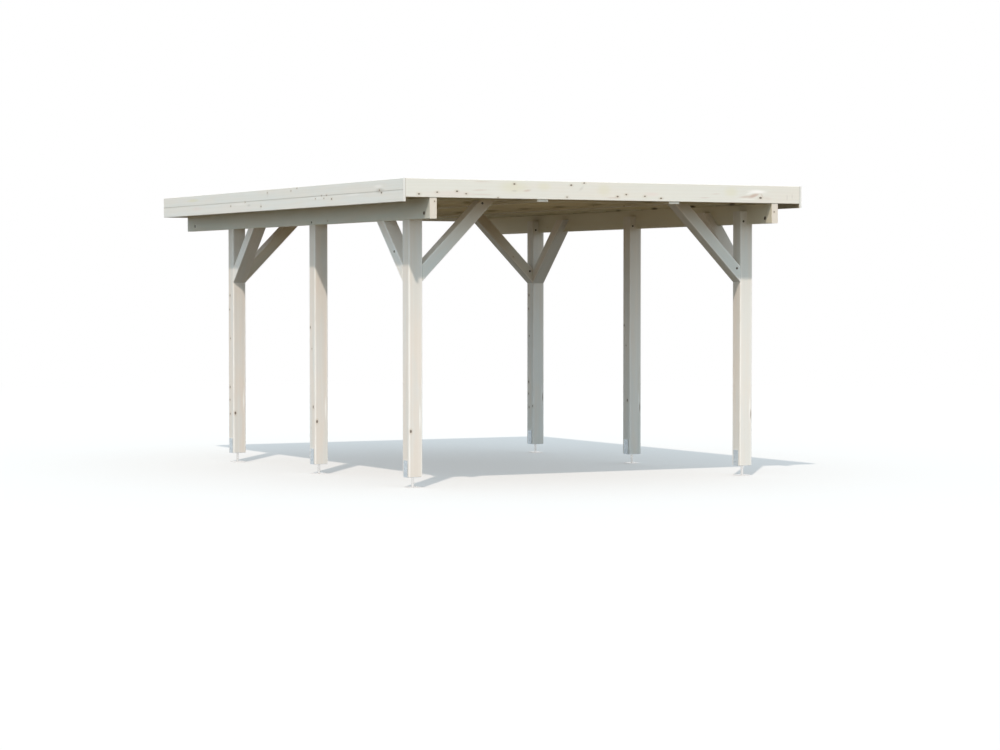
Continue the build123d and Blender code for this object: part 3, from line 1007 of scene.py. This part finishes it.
# %% The floor
FLOOR_GREY, FLOOR_GLOW = (0.50, 0.50, 0.50), 0.26
PAVING = (0.150, 0.112, 0.070)
WHITE = (1.0, 1.0, 1.0)
FADE_FROM, FADE_TO = 6.0, 22.0


def disc(radius, rings, spokes):
    """Points at radius * (r / rings) ** 1.6, angle 2 pi s / spokes, on the ground."""
    r = radius * (np.arange(rings + 1) / rings) ** 1.6
    turn = 2 * np.pi * np.arange(spokes) / spokes
    points = np.stack([np.outer(r, np.cos(turn)), np.outer(r, np.sin(turn)),
                       np.zeros((rings + 1, spokes))], -1)
    return points.reshape(-1, 3), ring_quads(rings + 1, spokes)


def plain_rays(tree):
    """1 for rays from the camera, in reflections and through glass, and 0 for the others."""
    path = node(tree, "LightPath")
    mirrored = calculate("MAXIMUM", path["Is Glossy Ray"], path["Is Transmission Ray"])
    return calculate("MAXIMUM", path["Is Camera Ray"], mirrored)


def floor_finish():
    """A grey floor with a little glow that fades to white, and paving for the plain light."""
    made, tree, shader = new_material("studio_floor")
    tree.nodes.remove(shader)
    far = between(calculate("LENGTH", object_place(tree)), FADE_FROM, FADE_TO)
    grey = node(tree, "BsdfDiffuse", Color=FLOOR_GREY)["BSDF"]
    glow = node(tree, "Emission", Color=WHITE, Strength=FLOOR_GLOW)["Emission"]
    near = node(tree, "AddShader", None, grey, glow)["Shader"]
    white = node(tree, "Emission", Color=WHITE, Strength=1.0)["Emission"]
    faded = node(tree, "MixShader", None, far, near, white)["Shader"]
    paving = node(tree, "BsdfDiffuse", Color=PAVING)["BSDF"]
    both = node(tree, "MixShader", None, plain_rays(tree), paving, faded)["Shader"]
    fill(tree.nodes["Material Output"], Surface=both)
    return made


floor = surface("studio_floor", *disc(120.0, 40, 96), floor_finish())


# %% Lamps and surroundings
def sun(name, strength, spread, colour, way):
    """A lamp far off that shines along way; spread, in degrees, softens its shadows."""
    lamp = bpy.data.lights.new(name, "SUN")
    lamp.energy, lamp.angle, lamp.color = strength, math.radians(spread), colour
    made = new_object(name, lamp)
    made.rotation_mode = "QUATERNION"
    made.rotation_quaternion = Vector(way).to_track_quat("-Z", "Y")


sun("key", strength=2.75, spread=1.3, colour=(1.0, 0.87, 0.76), way=(0.375, 0.487, -0.789))
sun("fill", strength=0.20, spread=60.0, colour=(1.0, 0.99, 0.96), way=(-0.20, 0.98, -0.06))

SKY, SKY_STRENGTH = (0.77, 0.915, 1.0), 1.04
world = bpy.data.worlds.new("studio")
world.use_nodes = True
bpy.context.scene.world = world
plain = plain_rays(world.node_tree)
fill(world.node_tree.nodes["Background"], Color=blend(plain, SKY, WHITE),
     Strength=between(plain, 0.0, 1.0, SKY_STRENGTH, 1.0, smooth=False))
bpy.context.scene.view_settings.view_transform = "Standard"
print("stage set")

# %% [markdown]
# ## Camera
# The camera stands some 24 m away to the front left at eye height, with a long lens, and looks
# slightly down. It sees only the edge of the roof.

# %% Camera
EYE = Vector((-10.9125, -21.596, 1.557))
TURN, DROP = 0.48141, 0.03069       # to the right of straight ahead and below level, in radians
look = Vector((math.sin(TURN) * math.cos(DROP), math.cos(TURN) * math.cos(DROP), -math.sin(DROP)))
lens = bpy.data.cameras.new("camera")
lens.lens, lens.sensor_width, lens.clip_end = 97.7, 36.0, 500.0
camera = new_object("camera", lens)
camera.location = EYE
camera.rotation_mode = "QUATERNION"
camera.rotation_quaternion = look.to_track_quat("-Z", "Y")
bpy.context.scene.camera = camera
print("camera", round(EYE.length, 2), "m away")
